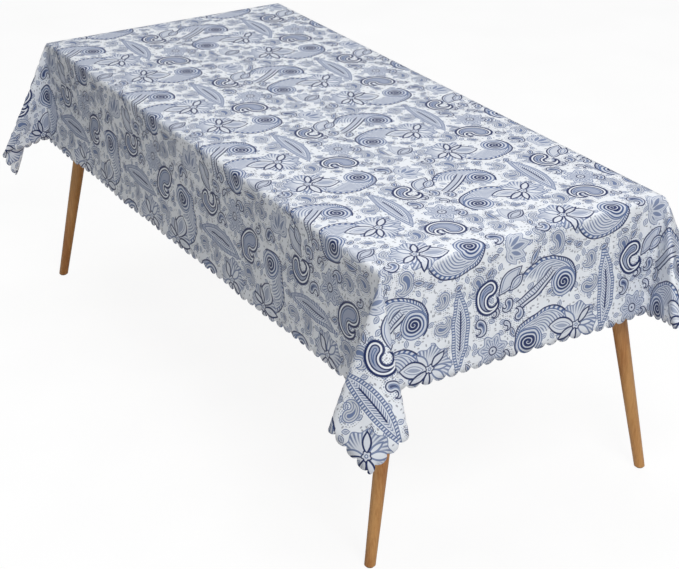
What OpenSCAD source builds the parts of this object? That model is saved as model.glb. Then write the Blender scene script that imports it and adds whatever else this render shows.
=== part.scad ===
// Rectangular dining table with splayed round legs, and the tablecloth that lies on it.
// Millimetres, +Z up. The origin is on the floor, under the middle of the table.
// +X runs along the table, and the four corners mirror each other.

/* [Table top] */
// Length of the table top, along X
top_length = 1820; // [1600:10:2400]
// Width of the table top, along Y
top_width = 780; // [700:10:1000]
// Thickness of the board
top_t = 22; // [18:1:30]
// Height of the board's upper face above the floor
top_h = 748.5; // [700:0.5:780]
// Radius of the board's corners, seen from above
top_corner_r = 20; // [10:1:60]
// Radius of the eased edge round the board
top_edge_r = 3; // [1:0.5:6]

/* [Tablecloth] */
// Thickness of the cloth solid
cloth_t = 1.2; // [0.8:0.1:2.5]
// Clearance between the cloth and the board
cloth_gap = 0.3; // [0.2:0.1:0.6]
// Height of the hem above the floor along the long sides
side_hem_z = 440; // [380:5:520]
// Height of the hem above the floor at the two ends
end_hem_z = 465; // [400:5:540]
// How far the long sides' hem stands out from the board's edge
side_flare = 18; // [5:1:40]
// How far the ends' hem stands out from the board's edge
end_flare = 27; // [5:1:50]

/* [Corner folds] */
// How far the fold's tip stands out from the board's corner, along X and along Y
tip_out = 110; // [60:5:160]
// Height of the fold's tip above the floor
tip_z = 335; // [300:5:420]
// How far each wing of the fold stands out from its own side of the board
wing_out = 165; // [100:5:200]
// How far each wing reaches past the board's corner along its own side
wing_past = 50; // [20:5:90]
// Height of the wings' lower ends above the floor
wing_z = 425; // [380:5:460]

/* [Legs] */
// Distance along X from the table's middle to the middle of each foot
foot_x = 898.6; // [700:0.2:1200]
// Distance along Y from the table's middle to the middle of each foot
foot_y = 404.1; // [330:0.1:520]
// Outward lean of the legs along X, in degrees from upright
lean_x = 5.6; // [0:0.1:10]
// Outward lean of the legs along Y, in degrees from upright
lean_y = 9.9; // [0:0.1:14]
// Diameter of a leg at the floor
leg_foot_d = 26.5; // [22:0.5:40]
// Diameter of a leg at its upper end
leg_top_d = 46.5; // [40:0.5:60]
// Height of the glide that each foot stands on
glide_h = 3.5; // [2:0.5:6]

/* [Under-frame] */
// Thickness of the rails
rail_t = 20; // [16:1:28]
// Height of the rails
rail_h = 60; // [50:1:90]
// Distance from the board's edge to the long rails' outer face
side_inset = 35; // [20:1:60]
// Distance from the board's edge to the end rails' outer face
end_inset = 15; // [10:1:60]
// Side of the square corner blocks
block_size = 110; // [100:1:140]
// Thickness of a corner block over the middle of its leg
block_t = 29; // [24:1:40]
// Side of the square steel leg plates
plate_size = 72; // [66:1:90]
// Thickness of the leg plates
plate_t = 3; // [2:0.5:5]
// Spacing of the four screws in a leg plate
plate_screw_pitch = 54; // [50:1:70]
// Diameter of the hanger bolts
bolt_d = 8; // [6:1:10]
// Shank diameter of the wood screws
screw_d = 4.4; // [3.5:0.1:5]

/* [Hidden] */
$fn = 48;

// The four corners, as the signs of X and Y. Front is -Y and left is -X.
front_left = [-1, -1];
front_right = [1, -1];
back_left = [-1, 1];
back_right = [1, 1];
corners = [front_left, front_right, back_left, back_right];

// The board
half_l = top_length / 2;
half_w = top_width / 2;
top_under = top_h - top_t;

// The rails
rail_z = top_under - rail_h;
side_rail_y = half_w - side_inset;
end_rail_x = half_l - end_inset;
long_rail_l = 2 * (end_rail_x - rail_t);
cross_rail_l = 2 * (side_rail_y - rail_t);

// The leg's own frame: +Z up along the leg from the middle of the foot
lean_norm = norm([tan(lean_x), tan(lean_y), 1]);
leg_turn_x = asin(tan(lean_y) / lean_norm);
leg_turn_y = -asin(tan(lean_x) / lean_norm / cos(leg_turn_x));
plate_z = top_under - block_t - plate_t;
leg_l = plate_z * lean_norm;
block_x = end_rail_x - rail_t - block_size;
block_y = side_rail_y - rail_t - block_size;

// Fasteners
clear = 0.05;
head_d = 9;
head_h = 2.5;
head_recess_d = 10;
into_top = 15;
rail_counterbore = 30;
block_screw_grip = 22;
block_screw_inset = 14;
plate_screw_l = 16;
joint_screw_l = 50;
joint_screw_rise = 15;
bolt_in_leg = 50;
bolt_past_plate = 18;
glide_d = 20;
nail_d = 3;
nail_l = 15;
rail_screw_xs = [-600, -200, 200, 600];
cross_screw_y = 150;

// The cloth
corner_steps = 8;
drop_steps = 4;
cloth_top = top_h + cloth_gap + cloth_t;
fold_out = 2;
fold_in = 1.5;

// Places its children at one corner, drawn for the corner at +X and +Y.
module at_corner(c) {
    mirror([c[0] < 0 ? 1 : 0, 0, 0])
        mirror([0, c[1] < 0 ? 1 : 0, 0])
            children();
}

// The frame of the leg at +X and +Y.
module along_leg() {
    translate([foot_x, foot_y, 0])
        rotate([leg_turn_x, leg_turn_y, 0])
            children();
}

// The four screw places of a leg plate, in the leg's frame, at height z.
module at_plate_screws(z) {
    for (x = [-1, 1], y = [-1, 1])
        translate([x * plate_screw_pitch / 2, y * plate_screw_pitch / 2, z])
            children();
}

// The two upright screws at the inner side of the block at +X and +Y.
module at_block_screws() {
    for (y = [block_y + block_screw_inset, block_y + block_size - block_screw_inset])
        translate([block_x + block_screw_inset, y, 0])
            children();
}

// The upright screws that hold the five rails to the board.
module at_rail_screws() {
    for (x = rail_screw_xs, side = [-1, 1])
        translate([x, side * (side_rail_y - rail_t / 2), 0])
            children();
    for (x = [-(end_rail_x - rail_t / 2), 0, end_rail_x - rail_t / 2], side = [-1, 1])
        translate([x, side * cross_screw_y, 0])
            children();
}

// Heights of the paired screws that join one rail to the end of another.
joint_screw_zs = [rail_z + joint_screw_rise, top_under - joint_screw_rise];

// Places its children at the end rails' screws, pointing in from the rail's outer face.
module at_end_rail_screws() {
    for (end = [-1, 1], side = [-1, 1], z = joint_screw_zs)
        translate([end * end_rail_x, side * (side_rail_y - rail_t / 2), z])
            rotate([0, -90 * end, 0])
                children();
}

// Places its children at the cross rail's screws, pointing in from the long rails' outer faces.
module at_cross_rail_screws() {
    for (side = [-1, 1], z = joint_screw_zs)
        translate([0, side * side_rail_y, z])
            rotate([90 * side, 0, 0])
                children();
}

// A pan-headed screw. Its head is below z = 0 and its shank runs up to z = l.
module screw(l) {
    translate([0, 0, -head_h])
        cylinder(d = head_d, h = head_h);
    cylinder(d = screw_d, h = l);
}

// The hole that a screw's shank fills.
module screw_hole(l) {
    translate([0, 0, -1])
        cylinder(d = screw_d + 2 * clear, h = l + 2);
}

// The recess that a screw's head sits in, of depth h below z = 0.
module head_recess(h) {
    translate([0, 0, -h])
        cylinder(d = head_recess_d, h = h);
}

// Outline of the board's eased edge: x runs out from the corner's centre, y is the height.
module edge_profile() {
    square([top_corner_r - top_edge_r, top_t]);
    translate([0, top_edge_r])
        square([top_corner_r, top_t - 2 * top_edge_r]);
    for (y = [top_edge_r, top_t - top_edge_r])
        translate([top_corner_r - top_edge_r, y])
            intersection() {
                circle(r = top_edge_r);
                translate([-top_edge_r / 2, -top_edge_r])
                    square([2 * top_edge_r, 2 * top_edge_r]);
            }
}

// One straight stretch of the board's edge, of length l, centred on x = 0 and facing -Y.
module edge_strip(l) {
    translate([-l / 2, 0, 0])
        rotate([90, 0, 90])
            linear_extrude(l)
                mirror([1, 0])
                    edge_profile();
}

module table_top() {
    core_l = top_length - 2 * top_corner_r;
    core_w = top_width - 2 * top_corner_r;
    color("burlywood")
        difference() {
            translate([0, 0, top_under])
                union() {
                    translate([-core_l / 2, -core_w / 2, 0])
                        cube([core_l, core_w, top_t]);
                    for (turn = [0, 180])
                        rotate(turn) {
                            translate([0, -core_w / 2, 0])
                                edge_strip(core_l);
                            rotate(90)
                                translate([0, -core_l / 2, 0])
                                    edge_strip(core_w);
                        }
                    for (c = corners)
                        translate([c[0] * core_l / 2, c[1] * core_w / 2, 0])
                            rotate_extrude()
                                edge_profile();
                }
            at_rail_screws()
                translate([0, 0, top_under])
                    screw_hole(into_top - 1);
            for (c = corners)
                at_corner(c)
                    at_block_screws()
                        translate([0, 0, top_under])
                            screw_hole(into_top - 1);
        }
}

// A long rail on the side given by its sign of Y.
module long_rail(side) {
    color("tan")
        difference() {
            translate([-long_rail_l / 2, side * (side_rail_y - rail_t / 2) - rail_t / 2, rail_z])
                cube([long_rail_l, rail_t, rail_h]);
            at_rail_screws()
                rail_screw_cut();
            at_end_rail_screws()
                screw_hole(joint_screw_l);
            at_cross_rail_screws() {
                screw_hole(joint_screw_l);
                translate([0, 0, head_h])
                    head_recess(head_h + 1);
            }
        }
}

// An end rail on the side given by its sign of X. It covers the ends of the long rails.
module end_rail(end) {
    color("tan")
        difference() {
            translate([end * (end_rail_x - rail_t / 2) - rail_t / 2, -side_rail_y, rail_z])
                cube([rail_t, 2 * side_rail_y, rail_h]);
            at_rail_screws()
                rail_screw_cut();
            at_end_rail_screws() {
                screw_hole(joint_screw_l);
                translate([0, 0, head_h])
                    head_recess(head_h + 1);
            }
        }
}

module cross_rail() {
    color("tan")
        difference() {
            translate([-rail_t / 2, -cross_rail_l / 2, rail_z])
                cube([rail_t, cross_rail_l, rail_h]);
            at_rail_screws()
                rail_screw_cut();
            at_cross_rail_screws()
                screw_hole(joint_screw_l);
        }
}

// The counterbore and hole for an upright rail screw.
module rail_screw_cut() {
    translate([0, 0, rail_z + rail_counterbore]) {
        head_recess(rail_counterbore + 1);
        screw_hole(rail_h);
    }
}

// A corner block. Its underside is square to the leg, and its upper face lies against the board.
module corner_block(c) {
    reach = 4 * block_size;
    color("peru")
        at_corner(c)
            difference() {
                translate([block_x, block_y, rail_z])
                    cube([block_size, block_size, rail_h]);
                along_leg() {
                    translate([-reach / 2, -reach / 2, leg_l + plate_t - reach])
                        cube([reach, reach, reach]);
                    translate([0, 0, leg_l])
                        cylinder(d = bolt_d + 1, h = plate_t + bolt_past_plate);
                    at_plate_screws(leg_l + plate_t)
                        screw_hole(plate_screw_l - plate_t - 1);
                }
                at_block_screws()
                    translate([0, 0, top_under - block_screw_grip]) {
                        head_recess(rail_h);
                        screw_hole(rail_h);
                    }
            }
}

// A steel plate between a leg and its block, with a middle hole for the hanger bolt.
module leg_plate(c) {
    color("silver")
        at_corner(c)
            along_leg()
                difference() {
                    translate([-plate_size / 2, -plate_size / 2, leg_l])
                        cube([plate_size, plate_size, plate_t]);
                    translate([0, 0, leg_l - 1])
                        cylinder(d = bolt_d + 2 * clear, h = plate_t + 2);
                    at_plate_screws(leg_l)
                        screw_hole(plate_t);
                }
}

// A double-ended bolt: one end is in the leg, the other passes through the plate.
module hanger_bolt(c) {
    color("gainsboro")
        at_corner(c)
            along_leg()
                translate([0, 0, leg_l - bolt_in_leg])
                    cylinder(d = bolt_d, h = bolt_in_leg + plate_t + bolt_past_plate - 1);
}

// A turned leg, tapering to its foot. The foot is cut level, a glide's height above the floor.
module leg(c) {
    foot_cut = 4 * leg_foot_d;
    color("peru")
        at_corner(c)
            difference() {
                along_leg() {
                    translate([0, 0, -leg_foot_d])
                        cylinder(
                            d1 = leg_foot_d - (leg_top_d - leg_foot_d) * leg_foot_d / leg_l,
                            d2 = leg_top_d,
                            h = leg_l + leg_foot_d
                        );
                }
                translate([foot_x - foot_cut / 2, foot_y - foot_cut / 2, glide_h - foot_cut])
                    cube([foot_cut, foot_cut, foot_cut]);
                along_leg()
                    translate([0, 0, leg_l - bolt_in_leg - 1])
                        cylinder(d = bolt_d + 2 * clear, h = bolt_in_leg + 2);
                translate([foot_x, foot_y, 0])
                    cylinder(d = nail_d + 2 * clear, h = glide_h + nail_l + 1);
            }
}

// A round glide with its nail.
module glide(c) {
    color("dimgray")
        at_corner(c)
            translate([foot_x, foot_y, 0]) {
                cylinder(d = glide_d, h = glide_h);
                cylinder(d = nail_d, h = glide_h + nail_l);
            }
}

module rail_screws() {
    color("silver")
        at_rail_screws()
            translate([0, 0, rail_z + rail_counterbore])
                screw(rail_h - rail_counterbore + into_top - 1);
}

module block_screws() {
    color("silver")
        for (c = corners)
            at_corner(c)
                at_block_screws()
                    translate([0, 0, top_under - block_screw_grip])
                        screw(block_screw_grip + into_top - 1);
}

module plate_screws() {
    color("silver")
        for (c = corners)
            at_corner(c)
                along_leg()
                    at_plate_screws(leg_l)
                        screw(plate_screw_l - 1);
}

module end_rail_screws() {
    color("silver")
        at_end_rail_screws()
            translate([0, 0, head_h])
                screw(joint_screw_l - head_h - 1);
}

module cross_rail_screws() {
    color("silver")
        at_cross_rail_screws()
            translate([0, 0, head_h])
                screw(joint_screw_l - head_h - 1);
}

// ---- The tablecloth ----
// Every ring of the shell holds the same points, going round from the corner at +X and +Y.

// The quarter turn round the board's corner, grown by g and seen at height z.
function corner_arc(g, z) = [
    for (k = [0:corner_steps])
        let (a = 90 * k / corner_steps, r = top_corner_r + g)
        [half_l - top_corner_r + r * cos(a), half_w - top_corner_r + r * sin(a), z]
];

// The point a share s of the way from p to q.
function between(p, q, s) = p + (q - p) * s;

// The hem round the fold at +X and +Y: out to one wing, down to the tip, up to the other wing and back.
function fold_hem() =
    let (
        end_start = [half_l + end_flare, half_w - top_corner_r, end_hem_z],
        end_wing = [half_l + wing_out, half_w + wing_past, wing_z],
        tip = [half_l + tip_out, half_w + tip_out, tip_z],
        side_wing = [half_l + wing_past, half_w + wing_out, wing_z],
        side_start = [half_l - top_corner_r, half_w + side_flare, side_hem_z],
        bend = 0.2
    )
    [
        end_start,
        between(end_start, end_wing, 0.5),
        between(end_wing, end_start, bend),
        between(end_wing, tip, bend),
        tip,
        between(side_wing, tip, bend),
        between(side_wing, side_start, bend),
        between(side_start, side_wing, 0.5),
        side_start
    ];

// One corner's points repeated at all four corners, in order round the table.
function mirrored(p, sx, sy) = [for (q = p) [sx * q[0], sy * q[1], q[2]]];
function backwards(p) = [for (k = [len(p) - 1:-1:0]) p[k]];
function all_round(p) = concat(
    p,
    backwards(mirrored(p, -1, 1)),
    mirrored(p, -1, -1),
    backwards(mirrored(p, 1, -1))
);

// A closed outline moved inwards by t in plan, with each point keeping its height.
function unit(v) = v / norm(v);
function left_of(v) = [-v[1], v[0]];
function plan(p) = [p[0], p[1]];
function moved_in(ring, t) = [
    for (k = [0:len(ring) - 1])
        let (
            n = len(ring),
            before = left_of(unit(plan(ring[k]) - plan(ring[(k + n - 1) % n]))),
            after = left_of(unit(plan(ring[(k + 1) % n]) - plan(ring[k]))),
            normal = unit(before + after),
            shift = normal * t / max(0.5, normal * after)
        )
        [ring[k][0] + shift[0], ring[k][1] + shift[1], ring[k][2]]
];

// The two triangles of each step between ring a and the next one, of n points each. The rings of the
// inner face run back up, so they split the other way to keep the two faces side by side.
function strip(a, n, inner) = [
    for (k = [0:n - 1], half = [0, 1])
        let (p = a * n + k, q = a * n + (k + 1) % n)
        inner
            ? (half == 0 ? [p, q, p + n] : [q, q + n, p + n])
            : (half == 0 ? [p, q, q + n] : [p, q + n, p + n])
];

module tablecloth() {
    grow = cloth_gap + cloth_t;
    edge = all_round(corner_arc(grow, cloth_top - fold_out));
    hem = all_round(fold_hem());
    n = len(hem);
    drop = [
        for (step = [0:drop_steps])
            [for (k = [0:n - 1]) between(edge[k], hem[k], step / drop_steps)]
    ];
    rings = concat(
        [all_round(corner_arc(grow - fold_out, cloth_top))],
        drop,
        [for (step = [drop_steps:-1:1]) moved_in(drop[step], cloth_t)],
        [all_round(corner_arc(cloth_gap, top_h + cloth_gap - fold_in))],
        [all_round(corner_arc(cloth_gap - fold_in, top_h + cloth_gap))]
    );
    last = len(rings) - 1;
    faces = concat(
        [[for (k = [n - 1:-1:0]) k]],
        [for (a = [0:last - 1]) each strip(a, n, a > drop_steps)],
        [[for (k = [0:n - 1]) last * n + k]]
    );
    color("lightsteelblue")
        polyhedron([for (ring = rings) each ring], faces);
}

tablecloth();
table_top();
long_rail(-1);  // rail_front
long_rail(1);  // rail_back
end_rail(-1);  // rail_left
end_rail(1);  // rail_right
cross_rail();
corner_block(front_left);  // block_front_left
corner_block(front_right);  // block_front_right
corner_block(back_left);  // block_back_left
corner_block(back_right);  // block_back_right
leg_plate(front_left);  // plate_front_left
leg_plate(front_right);  // plate_front_right
leg_plate(back_left);  // plate_back_left
leg_plate(back_right);  // plate_back_right
hanger_bolt(front_left);  // hanger_bolt_front_left
hanger_bolt(front_right);  // hanger_bolt_front_right
hanger_bolt(back_left);  // hanger_bolt_back_left
hanger_bolt(back_right);  // hanger_bolt_back_right
leg(front_left);  // leg_front_left
leg(front_right);  // leg_front_right
leg(back_left);  // leg_back_left
leg(back_right);  // leg_back_right
glide(front_left);  // glide_front_left
glide(front_right);  // glide_front_right
glide(back_left);  // glide_back_left
glide(back_right);  // glide_back_right
rail_screws();
block_screws();
plate_screws();
end_rail_screws();
cross_rail_screws();
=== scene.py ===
"""Looks for a printed tablecloth draped over a four-legged dining table."""
import math

import bmesh
import bpy
import numpy as np
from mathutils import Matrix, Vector
from mathutils.geometry import delaunay_2d_cdt


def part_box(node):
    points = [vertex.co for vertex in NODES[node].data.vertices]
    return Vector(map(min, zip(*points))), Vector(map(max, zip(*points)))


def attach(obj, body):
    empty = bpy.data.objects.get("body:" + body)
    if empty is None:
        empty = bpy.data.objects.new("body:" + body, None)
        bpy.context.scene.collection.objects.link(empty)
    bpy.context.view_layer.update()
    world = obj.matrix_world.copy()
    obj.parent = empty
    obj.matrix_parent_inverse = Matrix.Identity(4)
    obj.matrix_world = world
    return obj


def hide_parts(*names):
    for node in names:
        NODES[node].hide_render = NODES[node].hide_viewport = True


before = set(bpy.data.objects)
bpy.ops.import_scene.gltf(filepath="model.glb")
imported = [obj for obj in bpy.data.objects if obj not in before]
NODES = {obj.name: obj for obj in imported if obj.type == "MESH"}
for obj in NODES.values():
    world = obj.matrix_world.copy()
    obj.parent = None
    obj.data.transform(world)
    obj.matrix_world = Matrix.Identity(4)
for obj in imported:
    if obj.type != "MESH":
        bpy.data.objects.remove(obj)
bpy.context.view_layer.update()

SCENE = bpy.context.scene

# ---------------------------------------------------------------- camera, light and floor

CAMERA_PLACE = (3.492, -2.070, 2.245)
CAMERA_AZIMUTH = 58.58
CAMERA_ELEVATION = 26.31
CAMERA_LENS = 86.6
FLOOR_SIZE = 60.0
# How far the camera sees the floor as one even pale tone, and how bright that tone is.
FLOOR_EVENNESS = 0.9
FLOOR_GLOW = 1.09
# How bright the surround is as a light, and how much brighter the camera sees it.
SURROUND_LIGHT = 0.15
SURROUND_SEEN = 0.82
# Each soft box: its name, place, size and power.
SOFT_BOXES = (
    ("key", (3.3, -0.60, 3.9), 1.8, 115.0),
    ("top_fill", (-1.2, 0.8, 4.6), 3.5, 102.0),
)
LIGHT_AIM = Vector((0.0, 0.0, 0.6))


def add_facing(thing, direction):
    """Adds a camera or a light to the scene, turned to look in that direction."""
    thing.rotation_mode = "QUATERNION"
    thing.rotation_quaternion = direction.to_track_quat("-Z", "Y")
    SCENE.collection.objects.link(thing)


def make_camera():
    """A camera off the right-hand end and the front side, looking down at the table top."""
    camera = bpy.data.objects.new("camera", bpy.data.cameras.new("camera"))
    azimuth, elevation = math.radians(CAMERA_AZIMUTH), math.radians(CAMERA_ELEVATION)
    back = Vector((
        math.sin(azimuth) * math.cos(elevation),
        -math.cos(azimuth) * math.cos(elevation),
        math.sin(elevation),
    ))
    camera.data.lens = CAMERA_LENS
    camera.location = CAMERA_PLACE
    add_facing(camera, -back)
    SCENE.camera = camera


def make_soft_box(name, place, size, power):
    """A square area light that faces the middle of the table."""
    data = bpy.data.lights.new(name, "AREA")
    data.size = size
    data.energy = power
    light = bpy.data.objects.new(name, data)
    light.location = place
    add_facing(light, LIGHT_AIM - Vector(place))


def make_studio():
    """A white surround, a large key light past the near end, and a pale floor. The surround
    lights the scene softly, but the camera sees it as pale as the floor."""
    world = bpy.data.worlds.new("studio")
    SCENE.world = world
    world.use_nodes = True
    surround = world.node_tree.nodes["Background"]
    surround.inputs["Color"].default_value = (1.0, 1.0, 1.0, 1.0)
    shader = Shader(world.node_tree)
    strength = shader.linear(shader.camera_ray(), SURROUND_SEEN, SURROUND_LIGHT)
    shader.feed(surround.inputs["Strength"], strength)
    for soft_box in SOFT_BOXES:
        make_soft_box(*soft_box)
    SCENE.view_settings.view_transform = "Standard"
    me = bpy.data.meshes.new("floor")
    half = FLOOR_SIZE / 2
    corners = [(-half, -half, 0), (half, -half, 0), (half, half, 0), (-half, half, 0)]
    me.from_pydata(corners, [], [(0, 1, 2, 3)])
    floor = bpy.data.objects.new("floor", me)
    SCENE.collection.objects.link(floor)
    me.materials.append(floor_material())


# ---------------------------------------------------------------- shader building


def operator_pair(operation):
    """The two methods that let a Python operator make a math node of that operation."""
    def forward(a, b):
        return a.shader.math(operation, a, b)

    def backward(a, b):
        return a.shader.math(operation, b, a)
    return forward, backward


class Value:
    """An output socket that can stand in a sum: each +, -, *, / or abs() makes a node."""

    def __init__(self, shader, socket):
        self.shader = shader
        self.socket = socket

    __add__, __radd__ = operator_pair("ADD")
    __sub__, __rsub__ = operator_pair("SUBTRACT")
    __mul__, __rmul__ = operator_pair("MULTIPLY")
    __truediv__, __rtruediv__ = operator_pair("DIVIDE")

    def __abs__(self):
        return self.shader.math("ABSOLUTE", self)


class Shader:
    """Builds a node tree by short calls, which take Values or plain numbers."""

    def __init__(self, tree):
        self.tree = tree

    def node(self, kind, **settings):
        made = self.tree.nodes.new(kind)
        for key, value in settings.items():
            setattr(made, key, value)
        return made

    def feed(self, socket, value):
        if isinstance(value, Value):
            self.tree.links.new(value.socket, socket)
        else:
            socket.default_value = value

    def outputs(self, made):
        """All of a node's outputs by name."""
        return {socket.name: Value(self, socket) for socket in made.outputs}

    def fed(self, made, output, **values):
        """One output of a node whose inputs are fed by name."""
        for name, value in values.items():
            self.feed(made.inputs[name], value)
        return Value(self, made.outputs[output])

    def fed_in_order(self, made, output, values):
        """One output of a node whose inputs are fed from the first on."""
        for socket, value in zip(made.inputs, values):
            self.feed(socket, value)
        return Value(self, made.outputs[output])

    def math(self, operation, *values):
        return self.fed_in_order(self.node("ShaderNodeMath", operation=operation), 0, values)

    def linear(self, value, slope, start):
        """value * slope + start"""
        return self.math("MULTIPLY_ADD", value, slope, start)

    def vector(self, operation, *values):
        made = self.node("ShaderNodeVectorMath", operation=operation)
        scalar = operation in ("LENGTH", "DOT_PRODUCT")
        return self.fed_in_order(made, "Value" if scalar else "Vector", values)

    def scaled(self, vector, scale):
        made = self.node("ShaderNodeVectorMath", operation="SCALE")
        self.feed(made.inputs[0], vector)
        return self.fed(made, "Vector", Scale=scale)

    def rotate(self, vector, angle):
        """A vector turned about z by an angle in radians."""
        made = self.node("ShaderNodeVectorRotate", rotation_type="Z_AXIS")
        return self.fed(made, "Vector", Vector=vector, Angle=angle)

    def part(self, vector, axis):
        """One of a vector's numbers. axis is "X", "Y" or "Z"."""
        along = {"X": (1.0, 0.0, 0.0), "Y": (0.0, 1.0, 0.0), "Z": (0.0, 0.0, 1.0)}
        return self.vector("DOT_PRODUCT", vector, along[axis])

    def ramp(self, value, low, high, to_low=0.0, to_high=1.0):
        """value eased from low..high to to_low..to_high, and held at the ends."""
        made = self.node("ShaderNodeMapRange", interpolation_type="SMOOTHSTEP", clamp=False)
        return self.fed_in_order(made, "Result", (value, low, high, to_low, to_high))

    def mix(self, factor, a, b):
        made = self.node("ShaderNodeMix", data_type="RGBA")
        return self.fed(made, "Result", Factor=factor, A=a, B=b)

    def noise(self, vector, scale, detail=3.0, roughness=0.5):
        made = self.node("ShaderNodeTexNoise")
        return self.fed(
            made, "Fac", Vector=vector, Scale=scale, Detail=detail, Roughness=roughness
        )

    def place(self):
        """The point being shaded, in metres, in the object's own frame."""
        return self.fed(self.node("ShaderNodeTexCoord"), "Object")

    def camera_ray(self):
        """1 for what the camera sees directly, and 0 for light on its way."""
        return self.fed(self.node("ShaderNodeLightPath"), "Is Camera Ray")


class Material(Shader):
    """A material with one Principled shader. Its constants are the same all over it."""

    def __init__(self, name, **constants):
        self.material = bpy.data.materials.new(name)
        self.material.use_nodes = True
        super().__init__(self.material.node_tree)
        self.principled = self.tree.nodes["Principled BSDF"]
        self.paint(**constants)

    def paint(self, **values):
        """Feeds the Principled shader's inputs by name, with _ for each space."""
        for name, value in values.items():
            self.feed(self.principled.inputs[name.replace("_", " ")], value)

    def bump(self, height, distance, strength):
        made = self.node("ShaderNodeBump")
        self.paint(Normal=self.fed(
            made, "Normal", Strength=strength, Distance=distance, Height=height
        ))


def colour(red, green, blue):
    """An 8-bit display colour as the linear colour that a shader takes."""
    def linear(v):
        v /= 255.0
        return v / 12.92 if v <= 0.04045 else ((v + 0.055) / 1.055) ** 2.4
    return (linear(red), linear(green), linear(blue), 1.0)


def darker(tone, share):
    """A linear colour with only that share of its light."""
    return [c * share for c in tone[:3]] + [1.0]


def floor_material():
    floor = Material("floor", Roughness=0.85)
    mottle = floor.noise(floor.place(), 3.0)
    tint = floor.mix(mottle, colour(250, 250, 250), colour(246, 246, 246))
    floor.paint(Base_Color=tint)
    glow = floor.node("ShaderNodeEmission")
    even = floor.fed(glow, "Emission", Color=tint, Strength=FLOOR_GLOW)
    plain = Value(floor, floor.principled.outputs["BSDF"])
    evenness = floor.camera_ray() * FLOOR_EVENNESS
    surface = floor.fed_in_order(floor.node("ShaderNodeMixShader"), 0, (evenness, plain, even))
    floor.feed(floor.tree.nodes["Material Output"].inputs["Surface"], surface)
    return floor.material


# ---------------------------------------------------------------- wood, steel and nylon


def wood_material(name, pale, dark, grain):
    """Straight-grained wood. grain holds how often the figure repeats along x, y and z."""
    wood = Material(name, Roughness=0.46, Coat_Weight=0.18, Coat_Roughness=0.35)
    stretched = wood.vector("MULTIPLY", wood.place(), grain)
    drift = wood.noise(stretched, 0.35, detail=2.0)
    fibre = wood.noise(stretched, 4.0, detail=6.0, roughness=0.62)
    pores = wood.ramp(wood.noise(stretched, 17.0, detail=2.0), 0.60, 0.72, 0.0, 0.35)
    streak = wood.linear(drift, 0.75, fibre * 0.6)
    body = wood.mix(wood.ramp(streak, 0.42, 0.95), pale, dark)
    wood.paint(
        Base_Color=wood.mix(pores, body, darker(dark, 0.55)),
        Roughness=wood.ramp(fibre, 0.3, 0.7, 0.40, 0.56),
    )
    wood.bump(fibre - pores, 0.0004, 0.5)
    return wood.material


def steel_material(name, tone, scratch):
    """Plated steel: dull blotches of zinc under fine scratches."""
    steel = Material(name, Roughness=0.36, Metallic=1.0)
    place = steel.place()
    blotch = steel.noise(place, 160.0, detail=4.0)
    scratches = steel.noise(steel.vector("MULTIPLY", place, scratch), 30.0, detail=3.0)
    steel.paint(
        Base_Color=steel.mix(blotch, tone, darker(tone, 0.72)),
        Roughness=steel.linear(scratches, 0.30, 0.22),
    )
    steel.bump(scratches, 0.0001, 0.4)
    return steel.material


def nylon_material():
    """Moulded nylon with a fine spark-eroded grain, scuffed low down where it slides."""
    nylon = Material("nylon", Roughness=0.55, Subsurface_Weight=0.05)
    place = nylon.place()
    scuff = nylon.ramp(nylon.noise(place, 420.0, detail=4.0), 0.45, 0.7)
    worn = scuff * nylon.ramp(nylon.part(place, "Z"), 0.0, 0.004, 1.0, 0.2)
    nylon.paint(
        Base_Color=nylon.mix(worn, colour(70, 58, 48), colour(128, 112, 98)),
        Roughness=nylon.ramp(worn, 0.0, 1.0, 0.5, 0.8),
    )
    nylon.bump(nylon.noise(place, 2600.0, detail=2.0), 0.00005, 0.5)
    return nylon.material


def dress_frame():
    """Gives each CAD node that is shown its material."""
    rail_pale, rail_dark = colour(208, 168, 118), colour(176, 128, 80)
    leg = wood_material("leg_wood", colour(214, 158, 92), colour(168, 106, 46), (70.0, 70.0, 5.0))
    board = wood_material(
        "table_top_wood", colour(205, 158, 106), colour(164, 114, 66), (4.0, 55.0, 55.0)
    )
    long_rail = wood_material("rail_wood_long", rail_pale, rail_dark, (4.0, 70.0, 70.0))
    cross_rail = wood_material("rail_wood_cross", rail_pale, rail_dark, (70.0, 4.0, 70.0))
    zinc = steel_material("zinc_plate", colour(176, 180, 184), (1.0, 14.0, 1.0))
    screw = steel_material("screw_steel", colour(196, 184, 150), (20.0, 20.0, 2.0))
    # A node is made of what stands by the first of these names that its own starts with.
    made_of = {
        "cross_rail_screws": screw, "block_screws": screw, "plate_screws": screw,
        "rail_screws": screw, "end_rail_screws": screw,
        "leg_": leg, "table_top": board, "rail_front": long_rail, "rail_back": long_rail,
        "rail_left": cross_rail, "rail_right": cross_rail, "cross_rail": cross_rail,
        "block_": long_rail, "plate_": zinc, "hanger_bolt_": zinc, "glide_": nylon_material(),
    }
    for name, node in NODES.items():
        found = [material for start, material in made_of.items() if name.startswith(start)]
        if found:
            node.data.materials.clear()
            node.data.materials.append(found[0])


# ---------------------------------------------------------------- the drape

CUT_LENGTH = 2.40
CUT_WIDTH = 1.40
CLOTH_THICK = 0.0009
LAY_GAP = 0.0010
EDGE_GAP = 0.0036
SIDE_FLARE = 0.058
END_FLARE = 0.090
SKIRT_JOIN = math.radians(24.0)
FOLD_SOFTNESS = math.radians(2.6)
ARC_STEP = math.radians(0.25)
# How many lines of each skirt are smoothed together with the fold between them.
LEAD_STEPS = 60
# How far from an ear's tip its two wings are, as angles on the flat cloth.
SIDE_WING = math.radians(12.0)
END_WING = math.radians(13.5)
FOLD_ROUNDS = 80
FOLD_CORRECTION = 0.7

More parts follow.
